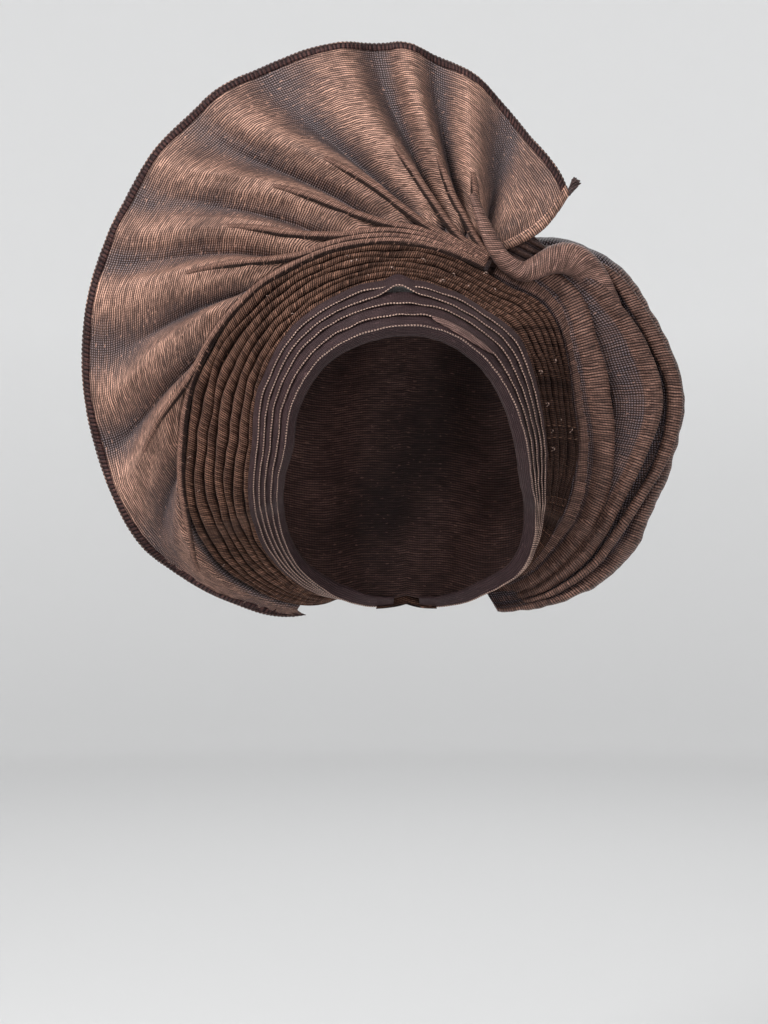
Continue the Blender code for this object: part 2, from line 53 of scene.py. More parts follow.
HEAD_HALF_WIDTH = .075  # head's axis to the side of the hollow
HEAD_HALF_DEPTH = .095  # head's axis to the forehead
HEAD_RISE = .1  # head's axis to the crown
RIM_STAND = .004  # the rim stands this far in front of the skin
PLEAT_BAND = .062  # outward reach of the pleat band
PLEAT_LEAN = .04  # how far the band runs back over that reach
PLEAT_DEPTH = .009  # front to back depth of one pleat
FAN_REACH = .12  # fan's reach past the band
FAN_LEAN = .028  # how far the fan's edge lies behind the band
FAN_FOLD = .0095  # height of a fan fold
FAN_LIFT = .016  # how far above the band the upper folds gather
PUFF_REACH = .066  # side puff's reach past the band
PUFF_LEAN = .028  # how far the puff's lip lies behind the band
PUFF_RISE = .014  # how far the puff swells in front of its lip
PUFF_FOLD = .0065  # height of a fold that lies on the puff
KNOT_REACH = .028  # outward reach of the knot roll's path
KNOT_STAND = .014  # how far the roll's path lies in front of the band
KNOT_RADIUS = .0055  # radius of the rolled cloth in the knot
TUFT_LENGTH = .009  # frayed tuft on the fan's corner
CLOTH = .002  # wall of a wrapped solid
SEAT_GAP = .0009  # clearance of the fan and puff beside the last pleat

# Sizes of what only the looks have, in metres

WALL = .0009  # thickness of one layer of the woven cloth
CORD_RADIUS = .00026  # one strand of the twisted thread on a layer's edge
CORD_TWIST = .0036  # length of one turn of that twist
BORDER = .0048  # width of the fan's dark selvedge
BORDER_TOOTH = .0005  # how far its serrated edge stands out
BORDER_PITCH = .0026  # distance between two of its teeth
BORDER_RIB = .00022  # height of its ribs
HEM = .0046  # width of the hem on the fan's free end
STITCH = .0026  # length of a stitch
SEAT_TUCK = .0028  # how far the fan and the puff reach in behind the last pleat
LAYER_STEP = .0013  # a layer's free edge stands this far forward

# Tables: lengths are shares of the sizes above, turns are in degrees round the head


def table(text):
    """Rows of numbers, read from lines under a line of column names."""
    head, *lines = text.split("\n")[1:-1]
    row = namedtuple("Row", head)
    return [row(*map(float, line.split())) for line in lines]


BAND = table("""
turn rim_radius rim_depth band_out band_back pleat_depth
-90 .92 -.87 -.50 .32 .42
-75 1 -.79 -.32 .52 .50
-60 1.07 -.54 -.04 .68 .70
-45 1.15 -.33 .08 .62 .50
-30 1.08 -.10 .25 .74 .45
-15 .94 .18 .47 1.06 .60
0 .87 .38 .56 1.10 .90
15 .82 .49 .60 .98 1
30 .775 .56 .70 .92 1
45 .73 .62 .82 .94 .80
60 .685 .69 .74 .95 .70
75 .65 .75 .75 .93 .70
90 .635 .77 .81 .93 .70
105 .655 .755 .86 .93 .70
120 .715 .71 .88 .93 .70
135 .795 .635 .92 .92 .85
150 .855 .55 .96 .92 1
165 .90 .455 .99 .95 1
180 .92 .35 1 1 1
195 1.01 .15 .94 .76 1
210 1.09 -.11 .76 .60 1
225 1.11 -.33 .48 .60 .90
240 1.06 -.54 .20 .68 .70
255 1 -.79 -.28 .54 .50
270 .92 -.87 -.50 .32 .42
""")

# Where each layer or pleat starts across the band, as shares of its width
FOLD_LINES = table("""
turn l1 l2 l3 l4 l5 p1 p2 p3 p4 p5 p6 p7 end
-90 0 .08 .16 .24 .32 .40 .49 .58 .67 .76 .84 .92 1
0 0 .08 .16 .24 .31 .38 .47 .56 .65 .74 .83 .91 1
90 0 .13 .26 .36 .46 .55 .61 .67 .73 .80 .87 .935 1
180 0 .07 .14 .20 .26 .32 .40 .49 .59 .69 .79 .89 1
270 0 .08 .16 .24 .32 .40 .49 .58 .67 .76 .84 .92 1
""")
LAYER_COUNT = 5
PLEAT_COUNT = 7
BAND_START = -85
BAND_END = 265

# The fan's outline past the band
FAN_EDGE = table("""
turn reach lean
56 .46 -.15
62 .575 .1
68 .66 .45
74 .77 .65
80 .87 .85
90 .975 1
100 .985 .95
110 .97 .9
120 .93 .9
130 .85 .85
140 .755 .8
150 .675 .7
160 .59 .55
170 .505 .45
180 .425 .35
190 .33 .25
200 .255 .2
210 .16 .15
220 .105 .1
230 .08 .05
240 .04 0
""")

# Ridges and valleys of the fan, from the nape round to the free corner
FAN_FOLDS = table("""
gather edge rise lift sweep
235 238 0 .12 1
222 228 -.3 .12 1.5
204 215 .5 .12 2
184 202 -.7 .12 2
168 188 1 .12 2.5
156 179 -.8 .12 2.5
144 171 .8 .12 2.5
135 163 -.8 .12 2.3
128 153 1 .14 2
122 148 -.6 .16 1.8
116 143 .7 .2 1.7
110 137 -.6 .3 1.7
103 131 .9 .45 1.8
97 123.5 -.8 .65 2
92 118 .8 .85 2
88 110.5 -1 1 2
84 100 1 1 2
80.5 94.5 -1 1 2
77.5 90 1 1 2
75 86 -1 1 2
72.5 80.5 1 .95 2
70 73 -1 .85 1.2
68 66 .3 .75 1.5
66 57.8 0 .62 3.5
""")
FAN_COLUMNS = 14  # columns of the fan's mesh from one fold to the next
FAN_ROWS = 104
GATHERED = [204, 168, 128, 116, 103, 92, 84, 77.5, 72.5]  # ridges that run on to the knot
GATHER_END = 66
GATHER_SHARES = [.34, .27, .2, .14, .09]  # places on a ridge where its gathered fold lies
GATHER_STEP = .0029  # one gathered fold to the next
GATHER_STAND = .0012  # how far they lie in front of the band's edge
GATHER_WIDTH = .004
GATHER_HEIGHT = .003
GATHER_OPENING = 92  # degrees from a gathered fold's top to its edge

# The side puff's outline past the band, and the paths of its three folds across it
PUFF = table("""
turn reach lean swell inner middle outer
-66 .26 -.6 .4 .20 .42 .64
-52 .32 -.3 .6 .20 .42 .64
-42 .47 0 .8 .20 .40 .60
-30 .67 .28 1 .21 .40 .59
-22 .715 .34 1 .22 .41 .60
-12 .77 .55 1 .22 .44 .68
-2 .86 .76 1 .19 .52 .80
9 .985 .90 1 .17 .62 .84
15 1 1 1 .16 .63 .84
22 .94 1 1 .17 .62 .82
30 .87 1 1 .17 .58 .79
38 .80 1 .9 .20 .50 .76
46 .68 1 .8 .22 .46 .70
55 .58 1 .55 .26 .46 .66
62 .42 1 .35 .30 .50 .70
70 .24 1 .2 .34 .54 .74
""")
PUFF_START = -60
PUFF_END = 64
PUFF_FOLD_START = -52
PUFF_FOLD_END = 60
# The puff's section: share of its reach, and share of its swell in front of the lip
PUFF_SECTION = [
    (0, 0), (.06, .05), (.16, .25), (.32, .55), (.5, .8), (.68, .97),
    (.84, 1), (.94, .75), (.99, .25), (.99, -.35), (.92, -.85),
    (.78, -1.1), (.58, -1.15),
]
PUFF_FRONT = 8  # points of the section on its front, before the lip turns back
# A fold on the puff: half widths from its centre, and shares of its height. Its face is as
# wide as its row says, and half is a share of the puff's reach.
PUFF_FOLD_SHAPE = [
    (-1, .42), (-.3, .88), (.35, 1), (.82, .84), (1.02, .55), (.86, .22), (.4, -.05),
]
PuffFold = namedtuple("PuffFold", "column face height inward half")
PUFF_FOLDS = [PuffFold(*row) for row in [
    ("inner", 1.9, .95, 1, .075),
    ("middle", 4.6, 1.35, .94, .075),
    ("outer", 1.2, .9, .955, .055),
]]

# The knot roll's path, from the fan's corner to the puff's lip: shares of its reach past the
# band, its stand and its radius, and how much wider it is than deep
KNOT = table("""
turn reach stand size wide
76.5 1.10 .56 .35 1
73 .68 .62 .6 1
68.5 .30 .60 .8 1
62.5 .06 .50 .9 1
57 .08 .48 1 1
55.5 .17 .50 1.05 1.05
53.8 .40 .50 1.15 1.1
52.4 .64 .38 1.25 1.2
50.8 .84 .20 1.25 1.35
48.3 1 .04 1.20 1.45
44.5 1.10 -.10 1.10 1.45
39.5 1.19 -.24 1 1.35
33 1.30 -.42 .90 1.25
26 1.40 -.62 .75 1.2
16 1.52 -.90 .50 1.1
""")
KNOT_PARTS = 10  # parts of its curve from one row to the next

TUFT_THREADS = 60

TUCK_START = 53  # turns between which the cloth behind the roll shows
TUCK_END = 69
TUCK_REACH = .029
TUCK_FOLD = .0042  # width of one of its small folds
TUCK_BACK = .0045  # how far it lies behind the band's edge

CROWN_CURL = 119  # largest angle of the wrap's curve from crown to edge
CROWN_COLUMNS = 240

# The band's meshes, and small features on it
BAND_COLUMNS = 360
HOLLOW_LAYER = 3  # this layer bulges at the brow and leaves a dark hollow under its edge
HOLLOW_TURN = 94
HOLLOW_SPAN = 5.5
TURNBACK_START = 48  # turns between which the lighter strip shows
TURNBACK_END = 80
TURNBACK_RUN = .0087  # the weave's run along it, as a share of the rim's radius
SLUB_COUNT = 26
HEM_LAP = .0024  # how far the first layer's hem runs on past the crown wrap's edge
LAYER_POINTS = 12
PLEAT_SHAPE = [
    (.02, -.62), (.04, -.34), (.16, -.1), (.36, .02), (.58, 0), (.78, -.12),
    (.93, -.34), (.99, -.66), (1, -1),
]
PLEAT_POINTS = 15

PUFF_COLUMNS = 220
PUFF_POINTS = 72
PUFF_FOLD_POINTS = 30

# The photograph's view
CAMERA_PLACE = (-.014, -1.1, -.1366)
IMAGE_HEIGHT = 1024
FOCAL_PIXELS = 1892  # the photograph's focal length in its own pixels
SENSOR = 36

Light = namedtuple("Light", "name place aim size power")
LIGHTS = [
    Light("key", (-1.2, -1.2, 1.1), (0, 0, -.02), .7, 42),
    Light("fill", (.6, -1.7, .3), (0, 0, -.05), 1.2, 7),
    Light("back", (.3, 1.6, 1.5), (0, 0, -.05), 1.4, 14),
]
FLOOR_LEVEL = -.62
FLOOR_SIDES = 64
# Radius and height of the floor, which turns up into a wall
FLOOR_PROFILE = [(0, 0), (2.2, 0), (2.7, .06), (3.05, .32), (3.2, .8), (3.25, 1.6), (3.25, 3.2)]


def smooth_value(rows, column, place):
    """A table column's value at a place between rows, on a smooth curve."""
    places = [row[0] for row in rows]
    place = min(max(place, places[0]), places[-1])
    last = len(rows) - 2
    k = max(i for i in range(last + 1) if places[i] <= place)

    def slope(i):
        low, high = max(i - 1, 0), min(i + 1, len(rows) - 1)
        return (getattr(rows[high], column) - getattr(rows[low], column)) / (places[high] - places[low])

    step = places[k + 1] - places[k]
    t = (place - places[k]) / step
    return ((2 * t**3 - 3 * t**2 + 1) * getattr(rows[k], column)
            + (t**3 - 2 * t**2 + t) * step * slope(k)
            + (3 * t**2 - 2 * t**3) * getattr(rows[k + 1], column)
            + (t**3 - t**2) * step * slope(k + 1))


def smooth_point(points, place):
    """A point on a smooth curve through points, at a place from 0 to the last one's number."""
    last = len(points) - 1
    k = min(int(place), last - 1)
    t = place - k
    near = [points[min(max(i, 0), last)] for i in (k - 1, k, k + 1, k + 2)]
    return [
        .5 * (2 * b + (c - a) * t + (2 * a - 5 * b + 4 * c - d) * t**2 + (3 * b - a - 3 * c + d) * t**3)
        for a, b, c, d in zip(*near)
    ]


def steps(start, end, count):
    """Evenly spaced values from start to end."""
    return [start + (end - start) * i / (count - 1) for i in range(count)]


def smooth_line(points, count):
    """Points at even steps on a smooth curve through points."""
    return [smooth_point(points, step) for step in steps(0, len(points) - 1, count)]


def runs(points):
    """Distance of each point from the first, along the points."""
    lengths = [0]
    for a, b in zip(points, points[1:]):
        lengths.append(lengths[-1] + (b - a).length)
    return lengths


def heading(path, i):
    """The way that a path runs at its point i."""
    return (path[min(i + 1, len(path) - 1)] - path[max(i - 1, 0)]).normalized()


def ease(share):
    """A smooth rise from 0 to 1."""
    share = min(max(share, 0), 1)
    return share * share * (3 - 2 * share)


def waver(a, b, seed):
    """Smooth noise between -1 and 1."""
    return noise.noise(Vector((a, b, seed * 7.31)))


def head_radius(turn):
    """Radius of the head's outline, seen from the front, at a turn."""
    angle = radians(turn)
    return 1 / hypot(cos(angle) / HEAD_HALF_WIDTH, sin(angle) / HEAD_RISE)


class Section:
    """The pleat band's section at one turn, with its own across and forward axes."""

    def __init__(self, turn):
        place = (turn + 90) % 360 - 90
        angle = radians(place)
        self.outward = Vector((cos(angle), 0, sin(angle)))
        self.back = Vector((0, 1, 0))
        radius = head_radius(place) * smooth_value(BAND, "rim_radius", place)
        depth = HEAD_HALF_DEPTH * smooth_value(BAND, "rim_depth", place)
        stand = copysign(min(RIM_STAND, abs(depth)), depth)
        self.rim = Vector((0, 0, -HEAD_RISE)) + self.outward * radius - self.back * (depth + stand)
        out = PLEAT_BAND * smooth_value(BAND, "band_out", place)
        lean = PLEAT_LEAN * smooth_value(BAND, "band_back", place)
        self.width = hypot(out, lean)
        self.across = (self.outward * out + self.back * lean) / self.width
        self.forward = (self.outward * lean - self.back * out) / self.width
        self.depth = PLEAT_DEPTH * smooth_value(BAND, "pleat_depth", place)

    def point(self, across, forward):
        return self.rim + self.across * across + self.forward * forward

    def beyond(self, reach, lean):
        """A point outward and back of the band's outer edge, past the last pleat."""
        start = self.point(self.width + CLOTH / 2 + SEAT_GAP, 0)
        return start + self.outward * reach + self.back * lean


@lru_cache(maxsize=None)
def section_at(turn_tenths):
    return Section(turn_tenths / 10)


def section(turn):
    """The section at the nearest tenth of a degree."""
    return section_at(floor(turn * 10 + .5))


# Meshes


def add_piece(name, vertices, faces, cloth, material, node=None, slot="fan_cloth"):
    """A mesh piece with its cloth coordinates, its material and what it replaces; its slot is not used."""
    if node:
        name = f"{node}_cloth"
    mesh = bpy.data.meshes.new(name)
    mesh.from_pydata([tuple(v) for v in vertices], [], faces)
    layer = mesh.attributes.new("cloth", "FLOAT_VECTOR", "POINT")
    for i, value in enumerate(cloth):
        layer.data[i].vector = value
    mesh.shade_smooth()
    mesh.materials.append(MATERIALS[material])
    piece = bpy.data.objects.new(name, mesh)
    bpy.context.scene.collection.objects.link(piece)
    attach(piece, "root")
    if node:
        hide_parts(node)
    return piece


def grid_faces(count, width, closed=False):
    """Faces between rows of points; a closed grid's last row joins its first."""
    faces = []
    for i in range(count if closed else count - 1):
        n = (i + 1) % count
        faces += [(i * width + j, i * width + j + 1, n * width + j + 1, n * width + j) for j in range(width - 1)]
    return faces


def grid_piece(name, grid, cloth, material, node=None, slot="fan_cloth", wall=WALL, closed=False):
    """An open sheet through rows of points, given its wall by Solidify."""
    width = len(grid[0])
    vertices = [p for row in grid for p in row]
    values = [c for row in cloth for c in row]
    faces = grid_faces(len(grid), width, closed)
    piece = add_piece(name, vertices, faces, values, material, node, slot)
    if wall:
        solid = piece.modifiers.new("Wall", "SOLIDIFY")
        solid.thickness = wall
        solid.offset = 0
    return piece


def tube_mesh(paths, radius, sides):
    """Vertices and faces of tubes along paths of points, each with its ends closed."""
    vertices, faces, cloth = [], [], []
    for path in paths:
        first = len(vertices)
        side = heading(path, 0).orthogonal()
        for i, (p, length) in enumerate(zip(path, runs(path))):
            along = heading(path, i)
            side = (side - along * side.dot(along)).normalized()
            other = along.cross(side)
            for j in range(sides):
                angle = 2 * pi * j / sides
                vertices.append(p + (side * cos(angle) + other * sin(angle)) * radius)
                cloth.append((length, j / sides * radius * 6, 1))
        for i in range(len(path) - 1):
            for j in range(sides):
                a, b = first + i * sides + j, first + i * sides + (j + 1) % sides
                faces.append((a, b, b + sides, a + sides))
        faces.append(tuple(range(first, first + sides))[::-1])
        faces.append(tuple(range(len(vertices) - sides, len(vertices))))
    return vertices, faces, cloth


def resample(path, step):
    """Points at even distances along a path."""
    points, spare = [path[0]], 0
    for a, b in zip(path, path[1:]):
        length = (b - a).length
        place = step - spare
        while place <= length:
            points.append(a.lerp(b, place / length))
            place += step
        spare = length - (place - step)
    return points


def twisted_cord(path, radius, twist, rings=8):
    """Two strands that wind round a path."""
    middle = resample(path, twist / rings)
    strands = [[], []]
    for i, p in enumerate(middle):
        along = heading(middle, i)
        side = along.cross(Vector((0, 1, 0))).normalized()
        other = along.cross(side)
        for k in (0, 1):
            angle = 2 * pi * i / rings + pi * k
            strands[k].append(p + (side * cos(angle) + other * sin(angle)) * radius * .85)
    return strands


def threads(grid, shade_levels, lengths, slant=0):
    """Cloth coordinates of a grid whose bright threads run across its length, at a slant, each with its painted
    shade level.
    """
    return [[(run, length + run * slant, shade_level) for run, shade_level in zip(runs(row), row_shade_levels)]
            for row, row_shade_levels, length in zip(grid, shade_levels, lengths)]


# Materials


class Graph:
    """Short ways to add and join the nodes of one material."""

    def __init__(self, name):
        self.material = bpy.data.materials.new(name)
        self.material.use_nodes = True
        self.tree = self.material.node_tree
        self.shader = self.tree.nodes["Principled BSDF"]

    def put(self, socket, value):
        if isinstance(value, bpy.types.NodeSocket):
            self.tree.links.new(value, socket)
        elif socket.type == "RGBA":
            socket.default_value = (*value, 1)
        else:
            socket.default_value = value

    def set(self, **values):
        """Inputs of the shader, by socket name with _ for a space."""
        for name, value in values.items():
            self.put(self.shader.inputs[name.replace("_", " ")], value)

    def node(self, kind, *inputs, **settings):
        node = self.tree.nodes.new(f"ShaderNode{kind}")
        for name, value in settings.items():
            setattr(node, name, value)
        for socket, value in inputs:
            self.put(node.inputs[socket], value)
        return node

    def math(self, operation, a, b=0, c=.5):
        return self.node("Math", (0, a), (1, b), (2, c), operation=operation).outputs[0]

    def times(self, a, b):
        return self.math("MULTIPLY", a, b)

    def plus(self, a, b):
        return self.math("ADD", a, b)

    def scale(self, value, factor, offset):
        return self.math("MULTIPLY_ADD", value, factor, offset)

    def ramp(self, value, low, high):
        """0 below low, 1 above high and a straight line between."""
        return self.node("MapRange", ("Value", value), ("From Min", low), ("From Max", high)).outputs["Result"]

    def mix(self, share, a, b):
        return self.node("Mix", ("Factor", share), (6, a), (7, b), data_type="RGBA").outputs[2]

    def noise(self, x, x_scale, y, y_scale, detail=2):
        place = self.node("CombineXYZ", (0, self.times(x, x_scale)), (1, self.times(y, y_scale)))
        inputs = [("Scale", 1), ("Detail", detail), ("Vector", place.outputs[0])]
        return self.node("TexNoise", *inputs).outputs[0]

    def stripes(self, value, pitch):
        """A soft stripe from 0 to 1, once every pitch."""
        return self.scale(self.math("SINE", self.times(value, 2 * pi / pitch)), .5, .5)

    def cloth(self):
        """The cloth coordinates: along, across, and the shade level that is painted in as shade and light."""
        place = self.node("Attribute", attribute_name="cloth").outputs["Vector"]
        return tuple(self.node("SeparateXYZ", (0, place)).outputs)

    def bump(self, height, strength, distance):
        node = self.node("Bump", ("Strength", strength), ("Distance", distance), ("Height", height))
        self.set(Normal=node.outputs[0])


# deep is the ground colour painted into the valleys as shade, shade is the colour of the cross-thread grid that
# shows only in the valleys as painted shade, bright sets how much lighter the threads are painted towards a
# ridge, and valley and ridge are the shade levels over which that happens
Weave = namedtuple("Weave", "name thread ground deep shade pitch cross sway bright gloss valley ridge")


def weave_material(weave):
    """Copper threads over a dark ground, painted darker towards the valleys and lighter on the ridges as shade
    and light, with a grey-violet grid of cross threads painted only into the valleys as shade.
    """
    graph = Graph(f"{weave.name}_weave")
    along, across, height = graph.cloth()
    drift = graph.plus(graph.noise(along, 40, across, 90), -.5)
    swerve = graph.plus(graph.noise(along, 220, across, 160), -.5)
    moved = graph.plus(across, graph.times(drift, weave.sway))
    moved = graph.plus(moved, graph.times(swerve, .0009))
    thread = graph.stripes(moved, weave.pitch)
    cross = graph.stripes(graph.plus(along, graph.times(drift, .002)), weave.cross)
    streak = graph.noise(along, 110, moved, 720)
    slub = graph.noise(along, 300, moved, 900, 0)
    patch = graph.noise(along, 30, across, 45, 3)
    # painted shade and light: high is 1 on a ridge and 0 in a valley, from the shade level
    high = graph.ramp(height, weave.valley, weave.ridge)
    lit = graph.times(graph.ramp(thread, .12, .62), graph.scale(graph.ramp(streak, .36, .64), .72, .28))
    lit = graph.times(lit, graph.scale(graph.ramp(cross, 0, .5), .35, .65))
    lit = graph.times(lit, graph.ramp(patch, .05, .62))
    # painted shade and light: the threads are darker towards the valleys and lighter on the ridges
    lit = graph.times(lit, graph.scale(high, weave.bright, .12))
    lit = graph.plus(lit, graph.times(graph.ramp(slub, .72, .8), .5))
    # painted shade: the ground turns to the deep colour in the valleys
    ground = graph.mix(graph.ramp(height, 0, .7), weave.deep, weave.ground)
    grid = graph.times(graph.ramp(cross, .35, .75), graph.ramp(thread, .3, .7))
    # painted shade: the grey-violet grid of cross threads shows only where the shade level is low
    low = graph.math("SUBTRACT", 1, high)
    ground = graph.mix(graph.times(grid, low), ground, weave.shade)
    graph.set(Base_Color=graph.mix(lit, ground, weave.thread), Roughness=graph.scale(lit, -.14, .6))
    graph.set(Metallic=.1, Specular_IOR_Level=weave.gloss, Sheen_Weight=.06, Sheen_Roughness=.4,
              Sheen_Tint=(.95, .78, .72))
    graph.bump(graph.plus(graph.scale(cross, .4, thread), streak), .5, .0005)
    return graph.material


def plain_thread(name, colour, bright):
    """A twisted thread with fine fibres along it."""
    graph = Graph(name)
    along, across, height = graph.cloth()
    fibre = graph.noise(along, 900, across, 2500)
    bead = graph.ramp(graph.stripes(along, CORD_TWIST / 2), .15, .7)
    share = graph.times(bead, graph.ramp(fibre, .2, .6))
    graph.set(Base_Color=graph.mix(share, colour, bright), Roughness=.45, Metallic=.2)
    graph.bump(fibre, .4, .0001)
    return graph.material


COPPER = (.64, .36, .265)
BROWN = (.034, .015, .011)
# near-black ground and grid colour, painted into the valleys as shade
VALLEY_SHADE = (.007, .0035, .0035)
# colours of the cross threads, which the weave shows only in the valleys as painted shade
VIOLET = (.2, .165, .185)
GREY = (.19, .165, .195)
WEAVES = [Weave(*row) for row in [
    ("fan", COPPER, BROWN, VALLEY_SHADE, VIOLET, .0014, .0015, .0026, 1.15, .3, .17, .82),
    ("gather", (.6, .33, .245), (.03, .013, .01), VALLEY_SHADE, VALLEY_SHADE, .0011, .0013, .0006, .8, .15, .1, .75),
    ("roll", (.54, .3, .235), (.03, .014, .011), VALLEY_SHADE, VIOLET, .0012, .0013, .0014, .85, .25, .12, .85),
    ("puff", (.38, .205, .155), (.014, .006, .005), VALLEY_SHADE, GREY, .0016, .0016, .003, .75, .2, .1, .75),
    ("pleat", (.34, .175, .12), (.007, .003, .0025), VALLEY_SHADE, VALLEY_SHADE, .0013, .0013, .0007, .7, .06, .15, .9),
    ("brow", (.11, .058, .058), (.022, .01, .012), VALLEY_SHADE, VALLEY_SHADE, .0013, .0013, .0005, .5, .2, .1, .75),
    ("wrap", (.16, .085, .07), (.014, .006, .006), VALLEY_SHADE, VALLEY_SHADE, .0015, .0015, .001, .7, .15, .1, .75),
    ("border", (.15, .07, .06), (.012, .005, .006), VALLEY_SHADE, VALLEY_SHADE, .0026, .0012, 0, .6, .15, .1, .75),
    ("gold", (.4, .24, .2), (.07, .036, .032), BROWN, BROWN, .0014, .0014, .0006, .8, .3, .1, .75),
]]
MATERIALS = {}


def make_materials():
    for weave in WEAVES:
        MATERIALS[weave.name] = weave_material(weave)
    MATERIALS["cord"] = plain_thread("edge_thread", (.05, .024, .02), (.62, .42, .34))
    MATERIALS["dark"] = plain_thread("dark_thread", (.03, .014, .014), (.085, .045, .04))


# The band of layers and pleats


def fold_edges(place):
    """Distances across the band, as shares, where each layer and pleat starts."""
    return [smooth_value(FOLD_LINES, column, place) for column in FOLD_LINES[0]._fields[1:]]


def crown_gap(place):
    """How far behind the rim the crown wrap's edge lies."""
    return max(.0024, place.depth * max(0, place.forward.y)) + CLOTH + .0006


def pleat_edge(place, edges, turn, k):
    """Distance across the band where pleat k starts; the edge wanders on its way round."""
    nominal = place.width * edges[LAYER_COUNT + k]
    if k in (0, PLEAT_COUNT):
        return nominal
    pitch = place.width * (edges[LAYER_COUNT + k + 1] - edges[LAYER_COUNT + k])
    return nominal + pitch * (.42 * waver(turn / 17, k * 3.7, 1) + .22 * waver(turn / 6, k * 2.9, 21))


def make_pleats():
    """The seven rounded pleats, each a folded sheet that wanders a little on its way round."""
    shape = smooth_line(PLEAT_SHAPE, PLEAT_POINTS)
    for k in range(PLEAT_COUNT):
        grid, shade_levels, middles = [], [], []
        for turn in steps(BAND_START, BAND_END, BAND_COLUMNS):
            place = section(turn)
            edges = fold_edges(turn)
            start = pleat_edge(place, edges, turn, k)
            pitch = pleat_edge(place, edges, turn, k + 1) - start
            # painted shadow under the roll and the puff on the right side
            shadow = 1 - .72 * ease((turn + 60) / 40) * ease((62 - turn) / 40)
            lift = .0016 * waver(turn / 11, k * 5.3, 2) + .0005 * waver(turn / 2.5, k * 4.1, 22)
            middles.append(place.point(start + pitch / 2, 0))
            grid.append([place.point(start + a * (pitch - WALL) + WALL / 2, f * place.depth + lift - WALL / 2)
                         for a, f in shape])
            # painted shade darkens each groove between pleats
            shade_levels.append([shadow * ease(1.05 + f * 2.4) for a, f in shape])
        name = f"pleat_{k + 1}"
        cloth = threads(grid, shade_levels, runs(middles), .5)
        piece = grid_piece(name, grid, cloth, "pleat", name, "pleat_cloth")


def make_layers():
    """The five flat brow layers, each with a twisted thread along its free edge."""
    for k in range(LAYER_COUNT):
        grid, rims = [], []
        for turn in steps(BAND_START, BAND_END, BAND_COLUMNS):
            place = section(turn)
            edges = fold_edges(turn)
            start = place.width * edges[k]
            pitch = place.width * (edges[k + 1] - edges[k])
            start += .12 * pitch * waver(turn / 8, k * 3.1, 3) if k else 0
            lift = .0005 * waver(turn / 5, k * 4.3, 4)
            if k == HOLLOW_LAYER:
                hump = exp(-((turn - HOLLOW_TURN) / HOLLOW_SPAN) ** 2)
                start += .75 * pitch * hump
                lift += .0022 * hump
            line = [(0, LAYER_STEP), (.5, LAYER_STEP * .3), (1, -LAYER_STEP * .4)]
            line.append((1, -LAYER_STEP * .8) if k == LAYER_COUNT - 1 else (1.45, -LAYER_STEP * .6))
            if k == 0:
                hem = [(0, -crown_gap(place) - HEM_LAP), (-.01, -.004), (-.03, -.0018), (-.01, .0002)]
                line = hem + line
            grid.append([place.point(start + a * pitch + WALL / 2, f + lift)
                         for a, f in smooth_line(line, LAYER_POINTS)])
            rims.append(place.point(start, LAYER_STEP + lift))
        cloth = [[(length, run, .6) for run in runs(row)] for row, length in zip(grid, runs(rims))]
        name = f"brow_layer_{k + 1}"
        piece = grid_piece(name, grid, cloth, "brow", name, "brow_cloth")
        cord = tube_mesh(twisted_cord(rims, CORD_RADIUS, CORD_TWIST), CORD_RADIUS, 5)
        extras = [add_piece(f"edge_thread_{k + 1}", *cord, "cord", None, "brow_cloth")]
        if k == 0:
            extras.append(make_turnback())


def make_turnback():
    """A strip of the first layer's lighter back that shows over the left brow."""
    grid, cloth = [], []
    length = 0
    for turn in steps(TURNBACK_START, TURNBACK_END, 60):
        place = section(turn)
        edges = fold_edges(turn)
        share = (turn - TURNBACK_START) / (TURNBACK_END - TURNBACK_START)
        span = sin(pi * share) ** .6
        pitch = place.width * edges[1]
        low = pitch * (.86 - .66 * span)
        row, values = [], []
        for part in steps(0, 1, 8):
            a = low + (pitch * 1.02 - low) * part
            f = LAYER_STEP * (1.15 - .55 * a / pitch) + WALL * .9 + .0004 * sin(pi * part)
            row.append(place.point(a, f))
            values.append((length, a, .9))
        length += place.rim.length * TURNBACK_RUN
        grid.append(row)
        cloth.append(values)
    return grid_piece("brow_turnback", grid, cloth, "gold", None, "brow_cloth", wall=.0005)


def make_slubs():
    """Small bright knots of thread that stand on the pleats here and there."""
    draw = random.Random(9)
    paths = []
    for _ in range(SLUB_COUNT):
        turn = draw.choice([draw.uniform(60, 135), draw.uniform(135, 215), draw.uniform(-10, 60)])
        k = draw.randrange(1, PLEAT_COUNT)
        place = section(turn)
        edges = fold_edges(turn)
        across = place.width * (edges[LAYER_COUNT + k] * .55 + edges[LAYER_COUNT + k + 1] * .45)
        middle = place.point(across, .0006)
        tangent = (section(turn + 1).rim - place.rim).normalized()
        for lean in (.9, -.9)[:draw.choice([1, 2])]:
            way = (tangent + place.across * lean).normalized() * draw.uniform(.001, .0019)
            paths.append([middle - way - place.forward * .0012, middle - way * .4, middle + way * .4,
                          middle + way - place.forward * .0012])
    add_piece("pleat_slubs", *tube_mesh(paths, .00024, 5), "cord", None, "pleat_cloth")


# The fan


def seat_tuck(place):
    """Where the fan or the puff is tucked in behind the last pleat."""
    return place.point(place.width - SEAT_TUCK, -place.depth - SEAT_TUCK)


def fan_turn(fold, share):
    """Turn of a fold at a share of the way from its gather to the selvedge."""
    return fold.gather + (fold.edge - fold.gather) * (1 - (1 - share) ** fold.sweep)


